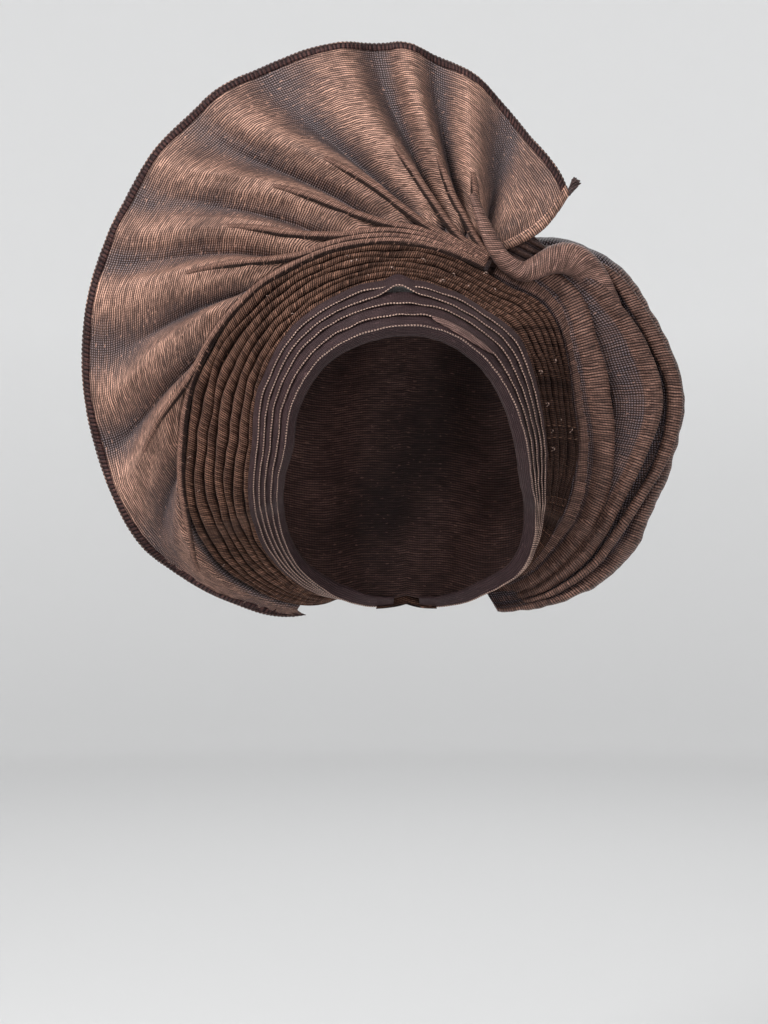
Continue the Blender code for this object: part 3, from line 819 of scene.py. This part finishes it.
def fan_base(fold, share):
    """A point of the fan before its folds are raised, and the way they rise."""
    turn = fan_turn(fold, share)
    place = section(turn)
    lift = FAN_LIFT * fold.lift
    full = FAN_REACH * smooth_value(FAN_EDGE, "reach", turn)
    lean = FAN_LEAN * smooth_value(FAN_EDGE, "lean", turn)
    reach = lift + (max(full, lift + CLOTH) - lift) * share
    rise_way = (place.forward * (1 - share) - place.back * share).normalized()
    return place.beyond(reach, lean * share), rise_way


def fan_height(share, turn):
    """Height of the folds along their length: they flatten out towards the left selvedge."""
    start = .05
    if share < start:
        return .3 + .55 * ease(share / start)
    flatter = .38 + .34 * ease((turn - 115) / 25)
    return .85 + .15 * sin(pi * share) - flatter * share**1.6


def blend_folds(low, high, mix):
    """A fold between two rows of the table."""
    return low._make(a + (b - a) * mix for a, b in zip(low, high))


@lru_cache(maxsize=None)
def fan_relief(k, share):
    """Height of a fold at a share, never more than its distance to its neighbours."""
    fold = FAN_FOLDS[k]
    here = fan_base(fold, share)[0]
    room = FAN_FOLD
    for other in (k - 1, k + 1):
        if 0 <= other < len(FAN_FOLDS):
            room = min(room, (fan_base(FAN_FOLDS[other], share)[0] - here).length * .8)
    return fold.rise * min(FAN_FOLD * fan_height(share, fold.edge), room)


def fan_point(k, mix, share):
    """A point of the fan's sheet, and its shade level: painted shade in a valley and painted light on a ridge,
    with a random tone.
    """
    fold = blend_folds(FAN_FOLDS[k], FAN_FOLDS[k + 1], mix)
    base, rise_way = fan_base(fold, share)
    low, high = FAN_FOLDS[k].rise, FAN_FOLDS[k + 1].rise
    crease = 1 - (1 - mix) ** 2.3 if high > low else mix**1.7
    soft = (1 - cos(pi * mix)) / 2
    blend = crease + (soft - crease) * ease(share * 1.15)
    height = fan_relief(k, share) * (1 - blend) + fan_relief(k + 1, share) * blend
    place = k + mix
    wave = .0011 * waver(place * 2.6, share * 1.5, 5) * ease(share * 8)
    ripple = .0014 * waver(place * 6, share * 2.5, 6) * ease(share * 8) * (1 - .7 * share)
    rise = low + (high - low) * blend
    # painted shade and light: dark in a valley and light on a ridge, fading along the fold, plus a random tone
    shade_level = .5 + .5 * rise * (1 - .35 * share) + .14 * waver(place * 1.9, share * 3.5, 25)
    return base + rise_way * (height + wave + ripple), shade_level


def make_fan():
    """The fan: one rippled sheet with a dark selvedge and a hemmed free end."""
    columns = [(k, i / FAN_COLUMNS) for k in range(len(FAN_FOLDS) - 1) for i in range(FAN_COLUMNS)]
    columns.append((len(FAN_FOLDS) - 2, 1))
    shares = [s ** 1.15 for s in steps(0, 1, FAN_ROWS)]
    grid, shade_levels = [], []
    for k, mix in columns:
        fold = blend_folds(FAN_FOLDS[k], FAN_FOLDS[k + 1], mix)
        place = section(fold.gather)
        clear = CLOTH / 2 + SEAT_GAP
        column = [seat_tuck(place)]
        column += [place.point(place.width + clear, -place.depth * behind) for behind in (.7, .4, .15)]
        # painted shade on the part tucked in behind the last pleat
        shade_level = [.1] * len(column)
        for share in shares:
            p, high = fan_point(k, mix, share)
            column.append(p)
            shade_level.append(high)
        grid.append(column)
        shade_levels.append(shade_level)
    cloth = [[(length, far, shade_level) for far, shade_level in zip(runs(column[::-1])[::-1], column_shade_levels)]
             for column, column_shade_levels, length in zip(grid, shade_levels, runs([column[-1] for column in grid]))]
    fan = grid_piece("fan", grid, cloth, "fan", "fan")
    extras = [make_border(grid), make_hem(grid), make_hem_stitches(grid), *make_gathers()]
    return grid


def arch_rows(path, normals):
    """Rows over a path for a half-round gathered fold, and the weave's coordinates on them."""
    grid, cloth = [], []
    for i, (p, length) in enumerate(zip(path, runs(path))):
        along = heading(path, i)
        up = (normals[i] - along * normals[i].dot(along)).normalized()
        side = along.cross(up)
        share = i / (len(path) - 1)
        width = GATHER_WIDTH * (.5 + .5 * ease(share * 4))
        height = GATHER_HEIGHT * ease(.1 + share * 3)
        row, values = [], []
        for degrees in steps(-GATHER_OPENING, GATHER_OPENING, 13):
            angle = radians(degrees)
            row.append(p + side * sin(angle) * width / 2 + up * cos(angle) * height)
            run = width * angle / 2
            # painted shade: the gathered fold is lighter on its crest and darker down its sides
            crest_light = ease(cos(angle) * 3.4 - 2.1)
            values.append((run, length + run * .7, .72 + (crest_light - .72) * ease(share * 4)))
        grid.append(row)
        cloth.append(values)
    return grid, cloth


def soft_curve(points, parts):
    """A smooth curve that is led by points without passing through them."""
    points = [points[0]] + points + [points[-1]]
    curve = []
    for i in range(len(points) - 3):
        a, b, c, d = points[i:i + 4]
        for t in steps(0, 1, parts + 1)[:-1]:
            curve.append(a * ((1 - t) ** 3 / 6) + b * ((3 * t**3 - 6 * t**2 + 4) / 6)
                         + c * ((-3 * t**3 + 3 * t**2 + 3 * t + 1) / 6) + d * (t**3 / 6))
    return curve


def make_gathers():
    """The fan's gathered ends: narrow folds that run down its ridges and over to the knot."""
    pieces = []
    ridges = [k for k, fold in enumerate(FAN_FOLDS) if fold.gather in GATHERED]
    for number, k in enumerate(ridges):
        fold = FAN_FOLDS[k]
        path, normals = [], []
        for share in GATHER_SHARES:
            p = fan_point(k, 0, share)[0]
            rise_way = fan_base(fold, share)[1]
            path.append(p + rise_way * WALL * .4)
            normals.append(rise_way)
        count = max(4, round((fold.gather - GATHER_END) / 6))
        for turn in steps(fold.gather - 7, GATHER_END, count):
            place = section(turn)
            spread = .45 + .55 * ease((turn - GATHER_END) / 32)
            reach = GATHER_STEP * (max(0, number - 1) * spread - .6) + .0009 * waver(turn / 7, number * 2.3, 16)
            stand = GATHER_STAND * (1 + .35 * waver(turn / 9, number * 1.7, 17)) + .0012 * (1 - spread)
            path.append(place.beyond(reach, 0) + place.forward * stand)
            normals.append(place.forward.copy())
        grid, cloth = arch_rows(soft_curve(path, 7), soft_curve(normals, 7))
        pieces.append(grid_piece(f"fan_gather_{number + 1}", grid, cloth, "gather"))
    return pieces


def make_border(grid):
    """The selvedge: a dark ribbed band folded over the fan's edge, with a serrated rim."""
    edge = [column[-1] for column in grid]
    way_in = [(column[-4] - column[-1]).normalized() for column in grid]
    normal = [heading(edge, i).cross(inward).normalized() for i, inward in enumerate(way_in)]
    stand = WALL * .75
    rows, values = [], []
    for i, length in enumerate(runs(edge)[:-1]):
        span = (edge[i + 1] - edge[i]).length
        parts = max(1, round(span / (BORDER_PITCH / 4)))
        for t in steps(0, 1, parts + 1)[:-1]:
            p = edge[i].lerp(edge[i + 1], t)
            inward = way_in[i].lerp(way_in[i + 1], t).normalized()
            up = normal[i].lerp(normal[i + 1], t).normalized()
            here = length + span * t
            wave = sin(2 * pi * here / BORDER_PITCH)
            high = stand + BORDER_RIB * wave
            front = [(1, stand * .7), (.6, high), (.2, high)]
            rows.append([p + inward * BORDER * a + up * f for a, f in front]
                        + [p - inward * BORDER_TOOTH * (.5 + .5 * wave)]
                        + [p + inward * BORDER * a - up * f for a, f in front[::-1]])
            values.append([(j * BORDER / 3, here, .3 if 1 < j < 5 else .75) for j in range(7)])
    return grid_piece("fan_border", rows, values, "border", wall=.0003)


def hem_frames(grid, first, past):
    """Points on the fan's free end, each with the ways into the cloth and out of its front."""
    end, near = grid[-1][first:past], grid[-3][first:past]
    frames = []
    for i, (p, q) in enumerate(zip(end, near)):
        inward = (q - p).normalized()
        up = heading(end, i).cross(inward).normalized()
        frames.append((p, inward, -up if up.y > 0 else up))
    return frames


def make_hem(grid):
    """The hem that is turned to the front along the fan's free end."""
    frames = hem_frames(grid, 6, None)
    rows, values = [], []
    for i, ((p, inward, up), length) in enumerate(zip(frames, runs([frame[0] for frame in frames]))):
        width = HEM * min(1, .35 + i / 12)
        wave = .0003 * waver(length * 120, 0, 8)
        rows.append([
            p - up * WALL * .8,
            p - inward * .0008,
            p + up * WALL * 1.5,
            p + inward * width * .5 + up * (WALL * 1.9 + wave),
            p + inward * width + up * (WALL * 1.2 + wave),
            p + inward * width + up * WALL * .4,
        ])
        values.append([(j * .0012, length, .9) for j in range(6)])
    return grid_piece("fan_hem", rows, values, "fan", wall=.0005)


def make_hem_stitches(grid):
    """A row of dark stitches that holds the hem."""
    line = [p + inward * HEM * .8 + up * WALL * 2.6 for p, inward, up in hem_frames(grid, 12, -3)]
    points = resample(line, STITCH / 3)
    paths = [points[i:i + 4] for i in range(0, len(points) - 4, 6)]
    return add_piece("hem_stitches", *tube_mesh(paths, .00022, 6), "dark")


def make_tuft(grid):
    """The frayed knot of threads on the fan's free corner."""
    draw = random.Random(4)
    corner = grid[-1][-1]
    way = (corner - grid[-1][-6]).normalized()
    side = way.cross(Vector((0, 1, 0))).normalized()
    depth = way.cross(side)
    paths = []
    for _ in range(TUFT_THREADS):
        spread = draw.uniform(.1, 1)
        angle = draw.uniform(0, 2 * pi)
        reach = TUFT_LENGTH * draw.uniform(.8, 1)
        path = []
        for share in steps(-.15, 1, 8):
            twist = angle + share * 1.8
            aside = side * cos(twist) + depth * sin(twist)
            width = .0013 + .0015 * max(0, share) ** 1.3
            path.append(corner + way * reach * share + aside * spread * width)
        paths.append(path)
    add_piece("corner_tuft", *tube_mesh(paths, .00034, 5), "dark", "corner_tuft", "frayed_thread")


# The side puff


def puff_point(turn, share, swell):
    """A point of the puff's wall: share of its reach, and of its swell to the front."""
    place = section(turn)
    reach = PUFF_REACH * smooth_value(PUFF, "reach", turn)
    lean = PUFF_LEAN * smooth_value(PUFF, "lean", turn)
    height = PUFF_RISE * smooth_value(PUFF, "swell", turn) * swell
    rise_way = (place.forward * (1 - share) - place.back * share).normalized()
    return place.beyond(reach * share, lean * share) + rise_way * height


def puff_swell(share):
    """The puff's swell at a share of its reach, on its front side."""
    front = PUFF_SECTION[:PUFF_FRONT]
    share = min(max(share, front[0][0]), front[-1][0])
    for k, ((s0, h0), (s1, h1)) in enumerate(zip(front, front[1:])):
        if s0 <= share <= s1:
            return smooth_point(PUFF_SECTION, k + (share - s0) / (s1 - s0))[1]
    return front[-1][1]


def lip_shadow(turn, share):
    """1 in the light, and near 0 deep under the puff's upper lip."""
    return 1 - .9 * ease((turn - 36) / 9) * ease((share - .28) / .22)


def make_puff():
    """The side puff: a wall that swells forward and rolls over its lip to the back."""
    grid, shade_levels = [], []
    clear = CLOTH / 2 + SEAT_GAP
    for turn in steps(PUFF_START, PUFF_END, PUFF_COLUMNS):
        place = section(turn)
        row = [seat_tuck(place)]
        row += [place.point(place.width + clear, -place.depth * behind) for behind in (.6, .3)]
        centres = [smooth_value(PUFF, fold.column, turn) for fold in PUFF_FOLDS]
        # painted shade on the part tucked in behind the last pleat
        shade_row = [.1, .1, .2]
        for step in steps(0, len(PUFF_SECTION) - 1, PUFF_POINTS):
            share, swell = smooth_point(PUFF_SECTION, step)
            dip, light = 0, 1
            if step < PUFF_FRONT:
                light = lip_shadow(turn, share)
                for centre, fold in zip(centres, PUFF_FOLDS):
                    far = (share - centre * fold.inward - fold.half * 1.5) / (fold.half * 1.2)
                    dip = max(dip, exp(-far * far))
            wrinkle = .001 * waver(turn / 2.2, share * 2, 9) + .0012 * waver(turn / 9, share * 5, 10)
            p = puff_point(turn, share, swell - .3 * dip)
            row.append(p + place.forward * wrinkle * min(1, share * 4))
            # painted shade in the dip beside each fold, times the painted shadow under the lip
            shade_row.append((.75 - .72 * dip) * light)
        grid.append(row)
        shade_levels.append(shade_row)
    cloth = threads(grid, shade_levels, runs([row[len(row) // 2] for row in grid]))
    piece = grid_piece("side_puff", grid, cloth, "puff", "side_puff", "puff_cloth")


def puff_fold_shape(fold):
    """The fold's section, from where its face leaves the wall to where its edge turns under."""
    face = [(-fold.face, -.3), (-fold.face * .75, -.02), (-fold.face * .45 - .4, .14)]
    return face + PUFF_FOLD_SHAPE


def make_puff_folds():
    """Three folds of cloth along the front of the puff, open to the outside."""
    for number, fold in enumerate(PUFF_FOLDS, start=1):
        shape = smooth_line(puff_fold_shape(fold), PUFF_FOLD_POINTS)
        grid, shade_levels = [], []
        for turn in steps(PUFF_FOLD_START, PUFF_FOLD_END, PUFF_COLUMNS):
            place = section(turn)
            centre = smooth_value(PUFF, fold.column, turn) * fold.inward
            fade = ease((turn - PUFF_FOLD_START) / 14) * ease((PUFF_FOLD_END - turn) / 10)
            arch = PUFF_FOLD * fold.height * smooth_value(PUFF, "swell", turn) * (.35 + .65 * fade)
            half = fold.half * (1 + .12 * waver(turn / 12, number, 11))
            room = min(1, (centre - .02) / (half * fold.face))
            row, shade_row = [], []
            for aside, high in shape:
                share = centre + (aside if aside > 0 else aside * room) * half
                base, near, far = [puff_point(turn, s, puff_swell(s)) for s in (share, share - .04, share + .04)]
                normal = (far - near).normalized().cross(place.outward.cross(place.back)).normalized()
                if normal.y > 0:
                    normal = -normal
                wrinkle = .0005 * waver(turn / 3, aside, 12 + number)
                crinkle = .0006 * waver(turn / .9, aside * .5, 30 + number) * ease(-aside - .8)
                row.append(base + normal * (arch * high + WALL + wrinkle + crinkle))
                # painted shade and light: lightest on the fold's top, darker where its edge turns under, and a
                # middling, randomly varied level where its face leaves the wall
                shade_level = ease(.25 + high) if aside > -1.2 else .3 + .12 * waver(turn / 6, aside, 40)
                shade_row.append(shade_level * (lip_shadow(turn, share) if number < 3 else 1))
            grid.append(row)
            shade_levels.append(shade_row)
        name = f"puff_fold_{number}"
        cloth = threads(grid, shade_levels, runs([row[len(row) // 2] for row in grid]), .25)
        piece = grid_piece(name, grid, cloth, "puff", name, "puff_cloth")


# The knot, the crown, the nape


def make_knot():
    """The rolled fold of the knot: an open roll that widens over the puff's upper lip."""
    guides = []
    for row in KNOT:
        place = section(row.turn)
        p = place.beyond(KNOT_REACH * row.reach, 0) + place.forward * KNOT_STAND * row.stand
        guides.append(Vector((*p, row.size, row.wide)))
    curve = soft_curve(guides, KNOT_PARTS)
    path = [Vector(place[:3]) for place in curve]
    grid, cloth = [], []
    for i, (p, length) in enumerate(zip(path, runs(path))):
        along = heading(path, i)
        front = Vector((0, -1, 0))
        front = (front - along * front.dot(along)).normalized()
        side = along.cross(front)
        size, wide = curve[i][3], curve[i][4]
        radius = KNOT_RADIUS * size - WALL / 2
        row, values = [], []
        for degrees in steps(-200, 130, 34):
            angle = radians(degrees)
            curl = radius * (1 if degrees > -120 else 1 - .35 * (-120 - degrees) / 80)
            crease = 1 + .05 * waver(angle * 1.4, length * 60, 18)
            row.append(p + (front * cos(angle) + side * sin(angle) * wide) * curl * crease)
            run = radius * angle * wide
            # painted light on the roll's front and painted shade round its sides and back
            values.append((run, length + run * .5, .45 + .55 * cos(angle)))
        grid.append(row)
        cloth.append(values)
    piece = grid_piece("knot_roll", grid, cloth, "roll", "knot_roll", "puff_cloth")
    make_knot_tuck()


def make_knot_tuck():
    """The cloth tucked in behind the roll, in small folds that follow it."""
    grid, cloth = [], []
    length = 0
    for turn in steps(TUCK_START, TUCK_END, 60):
        place = section(turn)
        top = TUCK_REACH * sin(pi * (.3 + .45 * (turn - TUCK_START) / (TUCK_END - TUCK_START)))
        row, values = [], []
        for share in steps(0, 1, 60):
            reach = -.004 + (top + .004) * share
            fold = sin(2 * pi * reach / TUCK_FOLD + turn * .12)
            back = TUCK_BACK + .002 * sin(turn * .5)
            row.append(place.beyond(reach, back - .0011 * fold))
            # painted shade and light following its small folds
            values.append((reach, length, .42 + .2 * fold))
        length += .0022
        grid.append(row)
        cloth.append(values)
    return grid_piece("knot_tuck", grid, cloth, "puff", None, "puff_cloth")


def make_crown():
    """The plain wrap over the crown and the back of the head, open to the face and below."""
    grid, cloth = [], []
    for turn in steps(-90, 270 - 360 / CROWN_COLUMNS, CROWN_COLUMNS):
        place = section(turn)
        edge = place.point(.0022, -crown_gap(place))
        curl = acos(max(cos(radians(CROWN_CURL)), 1 + edge.z / HEAD_RISE))
        row, shade_levels = [], []
        for share in steps(0, 1, 60):
            angle = curl * share
            flat = sin(angle) / sin(curl)
            drop = (1 - cos(angle)) / (1 - cos(curl))
            p = Vector((edge.x * flat, edge.y * flat, edge.z * drop))
            out = Vector((p.x, p.y, p.z * .6 + .04)).normalized()
            fold = .0011 * sin(radians(turn) * 5 + share * 9) * ease(share * 3) * ease((1 - share) * 5)
            p += out * (CLOTH / 2 + .0002 + max(0, fold) + .0004 * abs(waver(p.x * 70, p.z * 70, 15)))
            row.append(p)
            # painted light on each fold's crest and painted shade between them
            shade_levels.append(.55 + fold * 300)
        grid.append(row)
        cloth.append([(p.x, far, shade_level) for p, far, shade_level in zip(row, runs(row), shade_levels)])
    piece = grid_piece("crown_wrap", grid, cloth, "wrap", "crown_wrap", "wrap_cloth",
                       wall=.0014, closed=True)


def make_nape():
    """The plain tuck at the nape that covers the ends of the pleats."""
    grid, cloth = [], []
    for turn in steps(259, 281, 40):
        place = section(turn)
        over = .0022
        line = [(-.0015, over - .001), (place.width * .15, over), (place.width * .5, over + .0018),
                (place.width * .85, over), (place.width + .0015, over - .001)]
        row, values = [], []
        for step in steps(0, len(line) - 1, 24):
            a, f = smooth_point(line, step)
            crease = .0003 * sin(step * 6 + turn * .3)
            row.append(place.point(a, f + crease))
            # painted shade and light following its creases
            values.append((turn * .0012, a, .6 + crease * 300))
        grid.append(row)
        cloth.append(values)
    piece = grid_piece("nape_tuck", grid, cloth, "pleat", "nape_tuck", "wrap_cloth", wall=.0016)


# The view, the lights and the stage


def add_object(name, data):
    thing = bpy.data.objects.new(name, data)
    bpy.context.scene.collection.objects.link(thing)
    return thing


def make_camera():
    data = bpy.data.cameras.new("camera")
    data.sensor_width = SENSOR
    data.lens = FOCAL_PIXELS * SENSOR / IMAGE_HEIGHT
    camera = add_object("camera", data)
    camera.location = CAMERA_PLACE
    camera.rotation_euler = (radians(90), 0, 0)
    bpy.context.scene.camera = camera


def make_lights():
    for row in LIGHTS:
        data = bpy.data.lights.new(row.name, "AREA")
        data.size = row.size
        data.energy = row.power
        light = add_object(row.name, data)
        light.location = row.place
        way = Vector(row.aim) - Vector(row.place)
        light.rotation_euler = way.to_track_quat("-Z", "Y").to_euler()


def make_stage():
    """A pale round floor that turns up into a wall all round."""
    profile = smooth_line(FLOOR_PROFILE, 40)
    vertices = []
    for j in range(FLOOR_SIDES):
        angle = 2 * pi * j / FLOOR_SIDES
        for radius, rise in profile:
            r = max(radius, .001)
            vertices.append((r * cos(angle), r * sin(angle), FLOOR_LEVEL + max(rise, 0)))
    mesh = bpy.data.meshes.new("floor")
    mesh.from_pydata(vertices, [], grid_faces(FLOOR_SIDES, len(profile), closed=True))
    mesh.shade_smooth()
    graph = Graph("pale_floor")
    split = graph.node("SeparateXYZ", (0, graph.node("TexCoord").outputs["Object"]))
    shade = graph.ramp(split.outputs["Z"], FLOOR_LEVEL, FLOOR_LEVEL + .9)
    tone = graph.scale(shade, .26, .64)
    graph.set(Base_Color=tone, Roughness=.9)
    mesh.materials.append(graph.material)
    add_object("floor", mesh)


def make_world():
    world = bpy.data.worlds.new("studio")
    world.use_nodes = True
    background = world.node_tree.nodes["Background"]
    background.inputs["Color"].default_value = (.93, .94, .95, 1)
    background.inputs["Strength"].default_value = .68
    bpy.context.scene.world = world
    bpy.context.scene.view_settings.view_transform = "Standard"


def main():
    make_camera()
    make_materials()
    make_crown()
    make_layers()
    make_pleats()
    make_slubs()
    grid = make_fan()
    make_tuft(grid)
    make_puff()
    make_puff_folds()
    make_knot()
    make_nape()
    make_lights()
    make_stage()
    make_world()


main()
